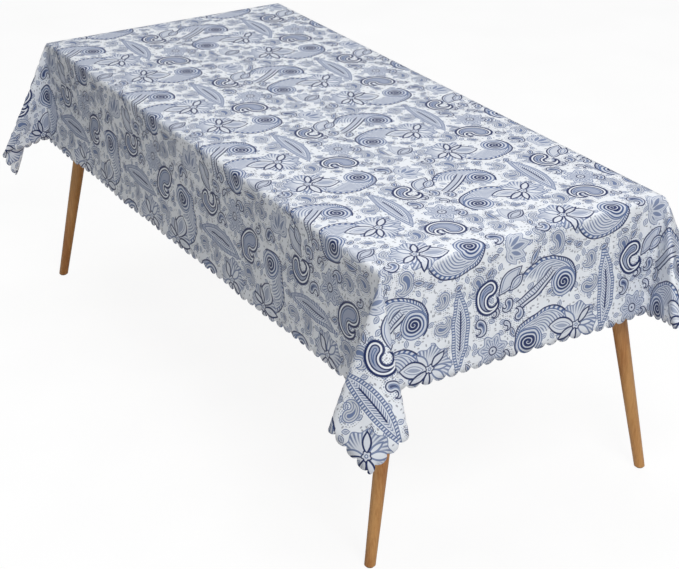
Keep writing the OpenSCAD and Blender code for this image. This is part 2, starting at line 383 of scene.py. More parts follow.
TOP_LOW, TOP_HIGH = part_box("table_top")
TOP_HALF_X = TOP_HIGH.x
TOP_HALF_Y = TOP_HIGH.y
TOP_Z = TOP_HIGH.z
END_DROP = CUT_LENGTH / 2 - TOP_HALF_X
SIDE_DROP = CUT_WIDTH / 2 - TOP_HALF_Y
TIP_ANGLE = math.atan2(END_DROP, SIDE_DROP)
LAY_Z = TOP_Z + LAY_GAP + CLOTH_THICK / 2
# Creases are rounded by an average over points that are ROUNDING apart on the flat cloth.
# Each tap is a point's steps from the middle one, and its weight.
ROUNDING = 0.004
ROUNDING_TAPS = ((-2, 1), (-1, 4), (0, 6), (1, 4), (2, 1))

SETTLE_STEP = 0.020
SETTLE_FRAMES = 12
# The settling cloth is held still over the table top, and this far past its edge.
HELD_MARGIN = 0.012
COLLIDER_CORNER = 0.020
COLLIDER_EDGE = 0.003

CLOTH_STEP = 0.010
HEM_BAND = 0.020
HEM_CORNER = 0.012
SCALLOP_WIDTH = 0.034
SCALLOP_DEPTH = 0.009
SCALLOP_POINTS = 8
SCALLOP_POWER = 2.6
MERGE_DISTANCE = 1e-7
TRIANGLES_INSIDE = 1
FLAT_UV = "flat_cloth"

# How far the ear at each corner stands out from the table corner, in metres past the end
# and past the side: at its wing over the side, at its tip, and at its wing over the end.
EARS = {
    (1, -1): ((0.066, 0.192), (0.182, 0.156), (0.196, 0.048)),
    (-1, -1): ((-0.040, 0.186), (0.000, 0.128), (0.145, 0.080)),
    (1, 1): ((0.100, 0.120), (0.200, 0.030), (0.212, -0.110)),
    (-1, 1): ((0.040, 0.165), (0.120, 0.125), (0.170, 0.030)),
}


def unit(v):
    v = np.asarray(v, float)
    return v / np.linalg.norm(v)


def skirt_direction(angle, flare):
    """Where a line drawn from the table corner down the side skirt points. Angle 0 is the
    line straight down from the corner, and a negative angle leans back along the side."""
    return np.array((
        math.sin(angle), flare * math.cos(angle), -math.sqrt(1 - flare ** 2) * math.cos(angle)
    ))


def skirt_directions(angle, flare):
    """skirt_direction() for an array of angles, as its three parts."""
    down = math.sqrt(1 - flare ** 2)
    return np.sin(angle), flare * np.cos(angle), -down * np.cos(angle)


def over_end(v):
    """A direction over the side, as the same direction over the end."""
    return np.array((v[1], v[0], v[2]))


def great_arc(a, b):
    """Unit directions from a up to b, without b, ARC_STEP apart."""
    angle = math.acos(np.clip(a @ b, -1, 1))
    count = max(2, round(angle / ARC_STEP))
    t = np.arange(count)[:, None] / count
    return (np.sin((1 - t) * angle) * a + np.sin(t * angle) * b) / math.sin(angle)


def ear_direction(outward, reach):
    """The direction of a point of the ear's hem: reach is its distance along the cloth."""
    x, y = outward
    return unit((x, y, -math.sqrt(reach ** 2 - x ** 2 - y ** 2)))


def smooth(path):
    """The path with its corners softened, and its two ends left out."""
    spread = FOLD_SOFTNESS / ARC_STEP
    window = round(3.5 * spread)
    weights = np.exp(-0.5 * (np.arange(-window, window + 1) / spread) ** 2)
    weights /= weights.sum()
    soft = np.stack([np.convolve(path[:, k], weights, "same") for k in range(3)], axis=1)
    soft = soft[window:-window]
    return soft / np.linalg.norm(soft, axis=1)[:, None], window


def corner_fold(side_wing, tip, end_wing):
    """How the cloth hangs from one table corner. The cloth there is a cone, whose lines
    all run from the table corner: a line at one angle on the flat cloth points along one
    direction, and the angle between two lines stays what it was on the flat cloth. That
    fixes how far past the corner each valley beside the ear is."""
    reach_side = SIDE_DROP / math.cos(TIP_ANGLE - SIDE_WING)
    reach_end = END_DROP / math.cos(math.pi / 2 - TIP_ANGLE - END_WING)
    wing_a = ear_direction(side_wing, reach_side)
    point = ear_direction(tip, math.hypot(SIDE_DROP, END_DROP))
    wing_b = ear_direction(end_wing, reach_end)
    start_a = skirt_direction(-SKIRT_JOIN, SIDE_FLARE)
    start_b = over_end(skirt_direction(-SKIRT_JOIN, END_FLARE))
    lead = np.arange(LEAD_STEPS, 0, -1)
    lead_a = [skirt_direction(-SKIRT_JOIN - k * ARC_STEP, SIDE_FLARE) for k in lead]
    lead_b = [over_end(skirt_direction(-SKIRT_JOIN - k * ARC_STEP, END_FLARE))
              for k in lead[::-1] - 1]
    valley_a = valley_b = 0.0
    for _ in range(FOLD_ROUNDS):
        keys = [start_a, skirt_direction(valley_a, SIDE_FLARE), wing_a, point, wing_b,
                over_end(skirt_direction(valley_b, END_FLARE)), start_b]
        arcs = [great_arc(a, b) for a, b in zip(keys, keys[1:])]
        soft, window = smooth(np.vstack([lead_a] + arcs + [lead_b]))
        steps = np.arccos(np.clip((soft[1:] * soft[:-1]).sum(axis=1), -1, 1))
        arc = np.concatenate([[0.0], np.cumsum(steps)])
        to_tip = len(lead) + sum(len(a) for a in arcs[:3]) - window
        first = -SKIRT_JOIN - (len(lead) - window) * ARC_STEP
        want = math.pi / 2 - 2 * first - ARC_STEP
        short_a = (TIP_ANGLE - first) - arc[to_tip]
        short_b = (want - (TIP_ANGLE - first)) - (arc[-1] - arc[to_tip])
        valley_a += FOLD_CORRECTION * short_a
        valley_b += FOLD_CORRECTION * short_b
    return {"first": first, "arc": arc, "path": soft}


def fold_direction(fold, angle):
    """Where the lines at those angles on the flat cloth point once the cloth hangs."""
    turned = np.stack(
        [np.interp(angle - fold["first"], fold["arc"], fold["path"][:, k]) for k in range(3)],
        axis=-1,
    )
    turned /= np.linalg.norm(turned, axis=-1)[..., None]
    last = fold["first"] + fold["arc"][-1]
    side = np.stack(skirt_directions(angle, SIDE_FLARE), axis=-1)
    x, y, z = skirt_directions(math.pi / 2 - angle, END_FLARE)
    end = np.stack((y, x, z), axis=-1)
    turned = np.where((angle <= fold["first"])[..., None], side, turned)
    return np.where((angle >= last)[..., None], end, turned)


def hang(u, v, folds):
    """Where the points (u, v) of the flat cloth go when the cloth is on the table."""
    past_end, past_side = np.abs(u) - TOP_HALF_X, np.abs(v) - TOP_HALF_Y
    hung = np.stack((u, v, np.full(u.shape, LAY_Z)), axis=-1)
    beyond = (past_end > 0) | (past_side > 0)
    angle = np.arctan2(past_end, past_side)
    reach = np.hypot(past_end, past_side)[..., None]
    for (sx, sy), fold in folds.items():
        here = beyond & (np.where(u > 0, 1, -1) == sx) & (np.where(v > 0, 1, -1) == sy)
        d = fold_direction(fold, angle) * reach
        place = np.stack((
            sx * (TOP_HALF_X + EDGE_GAP + d[..., 0]),
            sy * (TOP_HALF_Y + EDGE_GAP + d[..., 1]),
            LAY_Z + d[..., 2],
        ), axis=-1)
        hung = np.where(here[..., None], place, hung)
    return hung


def soft_hang(u, v, folds):
    """hang() with every crease and table edge rounded, as a cloth with some body lies."""
    whole = sum(weight for _, weight in ROUNDING_TAPS) ** 2
    total = np.zeros(u.shape + (3,))
    for i, weight_u in ROUNDING_TAPS:
        for j, weight_v in ROUNDING_TAPS:
            moved = hang(u + i * ROUNDING, v + j * ROUNDING, folds)
            total += weight_u * weight_v / whole * moved
    return total


# ---------------------------------------------------------------- settling by simulation


def grid_faces(columns, rows):
    """The quads of a grid of points that runs along columns first."""
    return [
        (j * columns + i, j * columns + i + 1, (j + 1) * columns + i + 1, (j + 1) * columns + i)
        for j in range(rows - 1) for i in range(columns - 1)
    ]


def rise(edge):
    """How far an edge climbs from one end to the other."""
    return abs(edge.verts[0].co.z - edge.verts[1].co.z)


def make_collider():
    """A slab in the table top's place, which the settling cloth can't sink into."""
    bm = bmesh.new()
    bmesh.ops.create_cube(bm, size=1.0)
    size = TOP_HIGH - TOP_LOW
    middle = (TOP_HIGH + TOP_LOW) / 2
    for vert in bm.verts:
        vert.co = Vector([vert.co[k] * size[k] + middle[k] for k in range(3)])
    upright = [e for e in bm.edges if rise(e) > 0.01]
    bmesh.ops.bevel(
        bm, geom=upright, offset=COLLIDER_CORNER, segments=6, profile=0.5, affect="EDGES"
    )
    level = [e for e in bm.edges if rise(e) < 1e-5 and e.calc_face_angle(0.0) > 1.0]
    bmesh.ops.bevel(
        bm, geom=level, offset=COLLIDER_EDGE, segments=3, profile=0.5, affect="EDGES"
    )
    me = bpy.data.meshes.new("collider")
    bm.to_mesh(me)
    bm.free()
    slab = bpy.data.objects.new("collider", me)
    SCENE.collection.objects.link(slab)
    slab.modifiers.new("collision", "COLLISION")
    slab.collision.thickness_outer = 0.001
    slab.collision.thickness_inner = 0.010
    slab.collision.cloth_friction = 12.0
    return slab


def settle(u_lines, v_lines, places):
    """How far each point of a grid moves when the hung cloth settles under its weight."""
    flat_u, flat_v = np.meshgrid(u_lines, v_lines)
    me = bpy.data.meshes.new("settling")
    me.from_pydata(places.reshape(-1, 3).tolist(), [], grid_faces(len(u_lines), len(v_lines)))
    cloth = bpy.data.objects.new("settling", me)
    SCENE.collection.objects.link(cloth)
    collider = make_collider()
    held = cloth.vertex_groups.new(name="held")
    near_end = np.abs(flat_u) < TOP_HALF_X + HELD_MARGIN
    on_top = near_end & (np.abs(flat_v) < TOP_HALF_Y + HELD_MARGIN)
    held.add(np.flatnonzero(on_top).tolist(), 1.0, "REPLACE")
    modifier = cloth.modifiers.new("cloth", "CLOTH")
    modifier.point_cache.frame_end = SETTLE_FRAMES
    body = modifier.settings
    body.quality = 6
    body.mass = 0.3
    body.tension_stiffness = body.compression_stiffness = 40.0
    body.shear_stiffness = 20.0
    body.bending_stiffness = 20.0
    body.tension_damping = body.compression_damping = body.shear_damping = 25.0
    body.bending_damping = 5.0
    body.air_damping = 5.0
    body.vertex_group_mass = "held"
    body.effector_weights.gravity = 0.2
    contact = modifier.collision_settings
    contact.distance_min = 0.0005
    contact.collision_quality = 3
    contact.use_self_collision = True
    contact.self_distance_min = 0.003
    for step in range(1, SETTLE_FRAMES + 1):
        SCENE.frame_set(step)
    settled = cloth.evaluated_get(bpy.context.evaluated_depsgraph_get())
    after = np.zeros(places.size)
    settled.data.vertices.foreach_get("co", after)
    SCENE.frame_set(1)
    for made in (cloth, collider):
        data = made.data
        bpy.data.objects.remove(made)
        bpy.data.meshes.remove(data)
    return after.reshape(places.shape) - places


def spline_weights(t):
    """Catmull-Rom weights of the four grid points around a place t of the way between two."""
    return np.stack((
        -0.5 * t + t ** 2 - 0.5 * t ** 3,
        1 - 2.5 * t ** 2 + 1.5 * t ** 3,
        0.5 * t + 2 * t ** 2 - 1.5 * t ** 3,
        -0.5 * t ** 2 + 0.5 * t ** 3,
    ))


def read_grid(values, u_lines, v_lines, u, v):
    """Values held at an even grid of points, read smoothly at any points (u, v)."""
    found = np.zeros(u.shape + (3,))
    reads = []
    for lines, at in ((u_lines, u), (v_lines, v)):
        steps = (at - lines[0]) / (lines[1] - lines[0])
        cell = np.clip(np.floor(steps).astype(int), 0, len(lines) - 2)
        weights = spline_weights(steps - cell)
        index = [np.clip(cell + k, 0, len(lines) - 1) for k in (-1, 0, 1, 2)]
        reads.append((weights, index))
    (weight_u, index_u), (weight_v, index_v) = reads
    for i in range(4):
        for j in range(4):
            weight = (weight_u[i] * weight_v[j])[..., None]
            found += weight * values[index_v[j], index_u[i]]
    return found


# ---------------------------------------------------------------- the cloth's mesh


def hem_outline():
    """The scalloped edge of the flat cloth, as points going once round it."""
    half_u, half_v = CUT_LENGTH / 2 - HEM_CORNER, CUT_WIDTH / 2 - HEM_CORNER
    quarter = math.pi / 2 * HEM_CORNER
    # Each corner's middle, where its arc starts, and the straight stretch that follows it.
    stretches = (
        (half_u, half_v, 0, 2 * half_u), (-half_u, half_v, 90, 2 * half_v),
        (-half_u, -half_v, 180, 2 * half_u), (half_u, -half_v, 270, 2 * half_v),
    )
    around = sum(straight for _, _, _, straight in stretches) + 4 * quarter
    count = round(around / SCALLOP_WIDTH) * SCALLOP_POINTS
    points = []
    for k in range(count):
        across = (k % SCALLOP_POINTS) / SCALLOP_POINTS
        out = HEM_CORNER - SCALLOP_DEPTH * abs(2 * across - 1) ** SCALLOP_POWER
        s = k * around / count
        for u, v, turn, straight in stretches:
            if s < quarter + straight:
                break
            s -= quarter + straight
        angle = math.radians(turn) + min(s, quarter) / HEM_CORNER
        normal_u, normal_v = math.cos(angle), math.sin(angle)
        along = max(s - quarter, 0.0)
        points.append((u + out * normal_u - along * normal_v, v + out * normal_v + along * normal_u))
    return points


def flat_cloth():
    """The flat cloth: a grid of quads, and triangles from its border out to the scallops."""
    inner_u, inner_v = CUT_LENGTH / 2 - HEM_BAND, CUT_WIDTH / 2 - HEM_BAND
    u_lines = np.linspace(-inner_u, inner_u, round(2 * inner_u / CLOTH_STEP) + 1)
    v_lines = np.linspace(-inner_v, inner_v, round(2 * inner_v / CLOTH_STEP) + 1)
    grid_u, grid_v = np.meshgrid(u_lines, v_lines)
    points = list(zip(grid_u.ravel().tolist(), grid_v.ravel().tolist()))
    columns, rows = len(u_lines), len(v_lines)
    faces = grid_faces(columns, rows)
    at = np.arange(len(points)).reshape(rows, columns)
    border = np.concatenate((at[0, :-1], at[:-1, -1], at[-1, :0:-1], at[:0:-1, 0])).tolist()
    outline = hem_outline()
    ids = border + list(range(len(points), len(points) + len(outline)))
    points += outline
    loops = [list(range(len(border))), list(range(len(border), len(ids)))]
    edges = [(a, b) for loop in loops for a, b in zip(loop, loop[1:] + loop[:1])]
    spots, _, triangles, sources, _, _ = delaunay_2d_cdt(
        [Vector(points[i]) for i in ids], edges, [], TRIANGLES_INSIDE, MERGE_DISTANCE
    )
    for triangle in triangles:
        middle = sum((spots[k] for k in triangle), Vector((0, 0))) / 3
        if abs(middle.x) > inner_u or abs(middle.y) > inner_v:
            faces.append([ids[sources[k][0]] for k in triangle])
    return np.array(points), faces


def drape(u, v):
    """Where the points (u, v) of the flat cloth lie once it is hung and has settled."""
    folds = {corner: corner_fold(*ear) for corner, ear in EARS.items()}
    places = soft_hang(u, v, folds)
    u_lines, v_lines = [
        np.linspace(-side / 2, side / 2, round(side / SETTLE_STEP) + 1)
        for side in (CUT_LENGTH, CUT_WIDTH)
    ]
    coarse_u, coarse_v = np.meshgrid(u_lines, v_lines)
    moved = settle(u_lines, v_lines, soft_hang(coarse_u, coarse_v, folds))
    return places + read_grid(moved, u_lines, v_lines, u, v)


def make_cloth():
    """The tablecloth: draped over the table, and given its thickness."""
    points, faces = flat_cloth()
    me = bpy.data.meshes.new("tablecloth_printed")
    me.from_pydata(drape(points[:, 0], points[:, 1]).tolist(), [], faces)
    flat_uv = me.uv_layers.new(name=FLAT_UV)
    corners = np.zeros(len(me.loops), int)
    me.loops.foreach_get("vertex_index", corners)
    flat_uv.data.foreach_set("uv", points[corners].astype(np.float32).ravel())
    me.polygons.foreach_set("use_smooth", [True] * len(me.polygons))
    cloth = bpy.data.objects.new("tablecloth_printed", me)
    SCENE.collection.objects.link(cloth)
    thickness = cloth.modifiers.new("thickness", "SOLIDIFY")
    thickness.thickness = CLOTH_THICK
    thickness.offset = 0.0
    me.materials.append(cloth_material())
    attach(cloth, "cloth")
    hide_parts("tablecloth")


# ---------------------------------------------------------------- the print
# Lengths in the print are in millimetres on the flat cloth, and angles are in degrees.
# x runs along the table and y across it, from the eye of one scroll. A motif's gap is the
# distance out of its edge, which is negative inside it.

REPEAT = (453.0, 401.0)
PRINT_ORIGIN = (-461.0, 245.0)
GROUND = colour(245, 249, 255)
INK_COLOURS = {
    "grey": colour(166, 170, 180),
    "tint": colour(74, 102, 154),
    "navy": colour(14, 38, 94),
}
INK_DEPTH = 2.7
EDGE_BLUR = 0.6

# The outer edge of a scroll: its distance from the eye after each angle of turn.
SCROLL_EDGE = ((0, 40), (60, 37), (110, 48), (150, 62), (175, 84), (195, 105), (220, 120))
SCROLL_DISC = 33.0
COIL_PITCH = 8.6
# Eye x, eye y, angle where the edge starts, and which way it turns.
SCROLLS = ((0, 0, 142, -1), (275, 153, -35, -1), (152, 247, 33, 1))

# The flowers' centres, and their petals as flower, tip x and y from the centre, half width.
FLOWERS = ((426, 278), (268, 285))
PETAL_START = 6.0
FAINT_PETALS = ((0, -41, -23, 9), (0, 38, -28, 6), (1, 32, 37, 9), (1, -43, -35, 9), (1, 2, 46, 6))
UNDER_PETALS = ((0, 24, 72, 25), (0, 26, -45, 9), (1, -15, -78, 20), (1, -36, 37, 9))
UPPER_PETALS = ((0, 61, -1, 10), (0, -44, 24, 8), (0, -18, 52, 7), (1, 47, -20, 8), (1, 25, -52, 9))

# Each comma: centre of its curved spine, centre of its head, sweep of its tail, head radius.
BOLD_COMMAS = (((148, 55), (119, 50), 260, 18), ((358, -4), (361, 25), 255, 27))
BLUE_COMMAS = (
    ((-3, 194), (-8, 208), -230, 10), ((3, 66), (-14, 68), -200, 12),
    ((214, 17), (198, 21), -200, 11), ((226, 92), (214, 94), -160, 6),
    ((290, 84), (304, 88), 170, 9), ((193, 122), (205, 128), 160, 9),
    ((184, 60), (172, 63), -200, 5), ((388, 70), (386, 60), 180, 7),
    ((172, 92), (166, 103), -200, 10),
)
GREY_COMMAS = (
    ((54, 214), (38, 228), -200, 16), ((348, 318), (339, 337), -190, 16),
    ((165, 324), (181, 314), 190, 14), ((392, 108), (408, 114), 200, 14),
    ((334, 80), (350, 93), 180, 15), ((112, 4), (97, 18), -190, 15),
    ((116, 312), (108, 327), -180, 13), ((404, 226), (390, 222), 190, 9),
    ((320, 28), (314, 40), -180, 9), ((24, 170), (10, 176), -190, 10),
)
# Each leaf: centre, turn, half length, half width.
DROPS = (
    (95, 365, -60, 11, 6), (73, 293, -70, 11, 6), (165, 207, -50, 10, 6),
    (305, 190, -60, 11, 6), (358, 243, 110, 12, 5), (410, 142, 30, 10, 5),
    (395, 378, 50, 12, 7), (66, 20, 70, 12, 5), (236, 330, -40, 9, 4), (82, 48, -30, 14, 6),
    (45, 60, -60, 11, 5), (348, 134, 0, 25, 7), (328, 222, 70, 16, 7), (66, 166, -32, 22, 6),
    (326, 300, 40, 15, 6), (58, 262, 80, 14, 6), (240, 112, 20, 13, 5), (318, 376, 80, 14, 6),
    (296, -14, 30, 14, 6), (420, 190, -30, 13, 6),
)
LONG_LEAF = (200, 370, -3, 106, 24)
BUD_LEAVES = ((110, 102, -46, 42, 19), (120, 120, -48, 24, 12))
STALK = (150, 176, -54, 64, 20)
# A fan of petals: the point they open from, then each one's turn, length and half width.
LOTUS_BASE = (38, 92)
LOTUS_PETALS = ((152, 48, 12), (126, 58, 15), (98, 64, 16), (66, 58, 15), (36, 46, 12))
ROSETTE_CENTRE = (271, 54)
ROSETTE_SIZE = 36
ROSETTE_LOBES = 7
WING = (368, 180, 12, 46, 24)
SEED = (370, 188, 112, 29, 15)

# How each kind of shape is inked. A mark is its ink, its strength, how far inside the edge
# it is and, if it is a line, how wide. A mark without a width fills the inside.
MARKS = {
    "grey_comma": (
        ("grey", 0.22, 0), ("tint", 0.52, 0, 2.2), ("tint", 0.42, 5.6, 1.8), ("tint", 0.5, 9.5),
    ),
    "blue_comma": (
        ("tint", 0.12, 0), ("navy", 0.8, 0, 2.8), ("tint", 0.5, 5.0), ("navy", 0.5, 8.5),
    ),
    "bold_comma": (
        ("navy", 1.0, 0, 5.2), ("navy", 0.9, 8.5, 2.8), ("tint", 0.3, 9.0), ("tint", 0.8, 15.0, 2.2),
    ),
    "drop": (("tint", 0.12, 0), ("navy", 0.62, 0, 2.2), ("tint", 0.6, 3.2)),
    "faint_petal": (
        ("tint", 0.04, 0), ("tint", 0.45, 10.5, 2.0), ("tint", 0.3, 15.0), ("tint", 0.5, 0, 4.0),
    ),
    "petal": (
        ("tint", 0.06, 0), ("tint", 0.45, 10.5, 2.0), ("tint", 0.3, 15.0), ("navy", 0.95, 0, 4.0),
    ),
    "heart": (("tint", 0.08, 0), ("navy", 0.9, 0, 2.8)),
    "scroll": (("navy", 0.92, 1.0, 3.4),),
    "scroll_border": (("tint", 0.9, 10.5, 2.4), ("tint", 0.62, 16.5, 1.8)),
    "long_leaf": (("tint", 0.07, 0),),
    "long_leaf_border": (("tint", 0.6, 0, 1.8), ("tint", 0.72, 8.5, 1.8)),
    "lotus": (
        ("tint", 0.1, 0), ("tint", 0.45, 0, 2.4), ("tint", 0.315, 5.5, 1.6), ("tint", 0.45, 10.0),
    ),
    "bud": (("tint", 0.12, 0), ("navy", 0.9, 0, 3.2), ("tint", 0.7, 6.5, 2.0)),
    "rosette": (("tint", 0.12, 0), ("tint", 0.6, 0, 2.4), ("tint", 0.6, 8.0, 1.8)),
    "wing": (("tint", 0.12, 0), ("tint", 0.45, 0, 2.0), ("tint", 0.4, 7.0, 1.6)),
    "seed": (("tint", 0.16, 0), ("navy", 0.95, 0, 3.4), ("navy", 0.75, 7.0, 2.2)),
}
BEADED_MARGIN = 1.0
# Each row of beads: its ink, its strength and how far outside the shape it is.
BEAD_ROWS = (("tint", 0.62, 4.2), ("grey", 0.75, 9.0))
BEAD_SIZE = 1.9
BEAD_SPACING = 5.0

# The seeds on the open ground: how far apart, and how strong their outline and heart are.
SCATTER_SPACING = 33.0
SCATTER_OUTLINE = 0.60
SCATTER_HEART = 0.30
# The specks between the motifs: how far apart, how each row is drawn out, and their radius.
SPECKS = ((14.0, (1.0, 0.55, 0.0), 1.6), (18.0, (0.6, 1.0, 0.0), 1.9))
SPECK_STRENGTH = 0.6

VECTOR_SOCKETS = ("Place", "Centre", "Local")
MOTIF_INPUTS = ("Place", "Centre", "Turn")
FAR = 1000.0


def add_sockets(tree, labels, direction):
    """Gives a node group its inputs or its outputs."""
    for label in labels:
        kind = "NodeSocketVector" if label in VECTOR_SOCKETS else "NodeSocketFloat"
        tree.interface.new_socket(label, in_out=direction, socket_type=kind)


class Print(Shader):
    """Lays motifs over each other in inks, each from 0 to 1. Cover is where a motif keeps
    the small specks out. Used on a group's tree, it draws one motif for reuse."""

    def __init__(self, tree):
        super().__init__(tree)
        self.inks = {ink: 0.0 for ink in (*INK_COLOURS, "cover")}
        self.groups = {}
        self.place = None
        self.dots = None

    def group(self, name, inputs, draw):
        """Makes a node group. draw gets a Print on it and its inputs, and returns outputs."""
        tree = bpy.data.node_groups.new("motif_" + name, "ShaderNodeTree")
        add_sockets(tree, inputs, "INPUT")
        inner = Print(tree)
        inner.groups = self.groups
        made = draw(inner, inner.outputs(inner.node("NodeGroupInput")))
        add_sockets(tree, made, "OUTPUT")
        leave = inner.node("NodeGroupOutput")
        for label, value in made.items():
            inner.feed(leave.inputs[label], value)
        self.groups[name] = tree

    def use(self, name, **values):
        made = self.node("ShaderNodeGroup", node_tree=self.groups[name])
        for label, value in values.items():
            self.feed(made.inputs[label], value)
        return self.outputs(made)

    # ---- marks

    def line(self, gap, width, inset=0.0):
        """A line of that width, at a distance inside the edge that gap is measured from."""
        away = abs(gap + inset) if inset else abs(gap)
        return self.ramp(away, width / 2 - EDGE_BLUR, width / 2 + EDGE_BLUR, 1.0, 0.0)

    def inside(self, gap, inset=0.0):
        return self.ramp(gap, -EDGE_BLUR - inset, EDGE_BLUR - inset, 1.0, 0.0)

    def within(self, value, low, high):
        """1 where value is below low, easing to 0 at high."""
        return self.ramp(value, low, high, 1.0, 0.0)

    def rungs(self, along, spacing, share=0.5):
        """Short bars across a band: along is the distance along it."""
        middle = abs(self.math("FRACT", along * (1.0 / spacing)) - 0.5)
        return self.within(middle, share / 2 - 0.1, share / 2 + 0.1)

    def lay(self, ink, mask, strength=1.0):
        weighted = mask * strength if strength != 1.0 else mask
        under = self.inks[ink]
        self.inks[ink] = weighted if under == 0.0 else self.math("MAXIMUM", under, weighted)

    def clear(self, mask, keep=0.0):
        """Takes the ink off under a motif that lies over others."""
        left = self.linear(mask, keep - 1.0, 1.0)
        for ink in ("navy", "tint", "grey"):
            if self.inks[ink] != 0.0:
                self.inks[ink] = self.inks[ink] * left
        self.lay("cover", mask)

    def mark(self, kind, gap, where=None):
        """Inks the marks of that kind of shape, or only where a mask lets them through."""
        for ink, strength, inset, *width in MARKS[kind]:
            mask = self.line(gap, width[0], inset) if width else self.inside(gap, inset)
            self.lay(ink, mask * where if where else mask, strength)

    def shape(self, kind, gap, keep=0.0):
        """Draws a shape over what is there."""
        self.clear(self.inside(gap), keep)
        self.mark(kind, gap)

    def beaded_shape(self, kind, gap):
        """Draws a shape with rows of small dots that follow its outside."""
        self.clear(self.inside(gap, -BEADED_MARGIN))
        for ink, strength, outside in BEAD_ROWS:
            self.lay(ink, self.line(gap, BEAD_SIZE, -outside) * self.dots, strength)
        self.mark(kind, gap)

    def polar(self, local):
        """Distance from the motif's centre, and the angle about it in radians."""
        angle = self.math("ARCTAN2", self.part(local, "Y"), self.part(local, "X"))
        return self.vector("LENGTH", local), angle

    # ---- shapes that are used many times

    def make_groups(self):
        self.group("place", MOTIF_INPUTS, Print.draw_place)
        self.group("leaf", MOTIF_INPUTS + ("Length", "Width", "Bend", "Others"), Print.draw_leaf)
        comma_inputs = MOTIF_INPUTS + ("Radius", "Sweep", "Width", "Flip", "Others")
        self.group("comma", comma_inputs, Print.draw_comma)
        self.group("scroll", MOTIF_INPUTS + ("Flip",), Print.draw_scroll)
        self.group("halo", ("Place", "Centre"), Print.draw_halo)
        self.group("heart", ("Place", "Centre"), Print.draw_heart)

    def local(self, given):
        """The point in the frame of the motif that is given those inputs."""
        values = {label: given[label] for label in MOTIF_INPUTS if label in given}
        return self.use("place", **values)["Local"]

    def draw_place(self, given):
        """The point in a motif's own frame: its centre is the origin in every repeat, and it
        is turned."""
        offset = self.vector("SUBTRACT", given["Place"], given["Centre"])
        half = (REPEAT[0] / 2, REPEAT[1] / 2, 0.0)
        nearest = self.vector("WRAP", offset, half, [-h for h in half])
        return {"Local": self.rotate(nearest, given["Turn"] * (-math.pi / 180))}

    def draw_leaf(self, given):
        """A pointed leaf along x, joined with the other shapes that have gap Others."""
        local = self.local(given)
        x = self.part(local, "X")
        x_squared = x * x
        bent = x_squared * given["Bend"]
        across = self.part(local, "Y") - bent
        narrowing = given["Width"] / (given["Length"] * given["Length"])
        half_width = given["Width"] - x_squared * narrowing
        gap = abs(across) - half_width
        joined = self.math("MINIMUM", gap, given["Others"])
        return {"Gap": joined, "Along": x, "Across": across}

    def draw_comma(self, given):
        """A paisley comma: a round head at angle 0 of an arc about the origin, and a tail
        that narrows along the arc for Sweep radians, clockwise if Flip is -1."""
        local = self.local(given)
        x = self.part(local, "X")
        y = self.part(local, "Y") * given["Flip"]
        before_head = 1.0
        turned = self.math("ARCTAN2", y, x) + before_head
        angle = self.math("FLOORED_MODULO", turned, 2 * math.pi) - before_head
        along = self.math("MAXIMUM", angle / given["Sweep"], 0.0)
        taper = self.linear(self.math("POWER", along, 1.3), -1.0, 1.0)
        half_width = given["Width"] * taper
        radius = self.vector("LENGTH", local)
        curl = self.linear(along * along, -0.45, 1.0)
        spine = given["Radius"] * curl
        across = abs(radius - spine)
        behind = self.math("MINIMUM", angle, 0.0) * given["Radius"]
        tail = across - half_width - behind
        head_x = x - given["Radius"]
        head_squared = self.linear(head_x, head_x, y * y)
        head = self.math("SQRT", head_squared) - given["Width"]
        gap = self.math("MINIMUM", tail, head)
        return {"Gap": self.math("MINIMUM", gap, given["Others"])}

    def painted(self):
        """What a motif's group gives back."""
        return {ink.capitalize(): self.inks[ink] for ink in ("cover", "navy", "tint")}

    def scroll_edge(self, turn):
        """The outer edge's distance from the eye, for a place that many turns round."""
        edge = self.node("ShaderNodeFloatCurve")
        points = edge.mapping.curves[0].points
        largest = SCROLL_EDGE[-1][1]
        places = [(degrees / 360.0, distance / largest) for degrees, distance in SCROLL_EDGE]
        points[0].location = places[0]
        points[1].location = places[-1]
        for place in places[1:-1]:
            points.new(*place)
        edge.mapping.update()
        return self.fed(edge, "Value", Value=turn) * largest

    def draw_scroll(self, given):
        """A broad body with a laced border, that unrolls from a coiled eye."""
        local = self.local(given)
        radius = self.vector("LENGTH", local)
        y = self.part(local, "Y") * given["Flip"]
        angle = self.math("ARCTAN2", y, self.part(local, "X"))
        part_turn = angle * (1 / (2 * math.pi))
        turn = self.math("FRACT", part_turn)
        gap = radius - self.scroll_edge(turn)
        window = self.ramp(turn, 0.0, 0.02) * self.within(turn, 0.58, 0.62)
        body = self.inside(gap) * window
        self.clear(body)
        self.lay("tint", body, 0.08)
        self.mark("scroll", gap, window)
        band = self.inside(gap, 2.0) * self.ramp(gap, -10.0, -9.0)
        self.lay("tint", band * self.rungs(turn, 0.020, 0.46) * window, 0.72)
        self.mark("scroll_border", gap, window)
        hatch = self.rungs(self.linear(turn, 170.0, gap), 7.4, 0.4)
        deep = self.inside(gap, 19.0) * self.ramp(radius, 38.0, 40.0)
        self.lay("tint", hatch * deep * window, 0.5)
        self.draw_eye(radius, part_turn)
        return self.painted()

    def draw_eye(self, radius, part_turn):
        """The coil in the middle of a scroll: one stroke that gets thinner outwards."""
        size, pitch = SCROLL_DISC, COIL_PITCH
        disc = self.inside(radius - size)
        self.clear(disc)
        self.lay("tint", disc, 0.1)
        unrolled = self.linear(part_turn, pitch, radius)
        coil = abs(self.math("WRAP", unrolled, pitch / 2, -pitch / 2))
        thick = self.ramp(radius, 0.0, size, pitch * 0.38, pitch * 0.19)
        stroke = self.inside(coil - thick)
        fading = self.ramp(radius, size * 0.4, size, 1.0, 0.75)
        self.lay("tint", stroke * disc * fading, 0.95)
        self.lay("navy", stroke * self.within(radius, size * 0.35, size * 0.8), 0.7)
        self.lay("tint", self.line(radius - (size + 1.5), 2.2), 0.75)

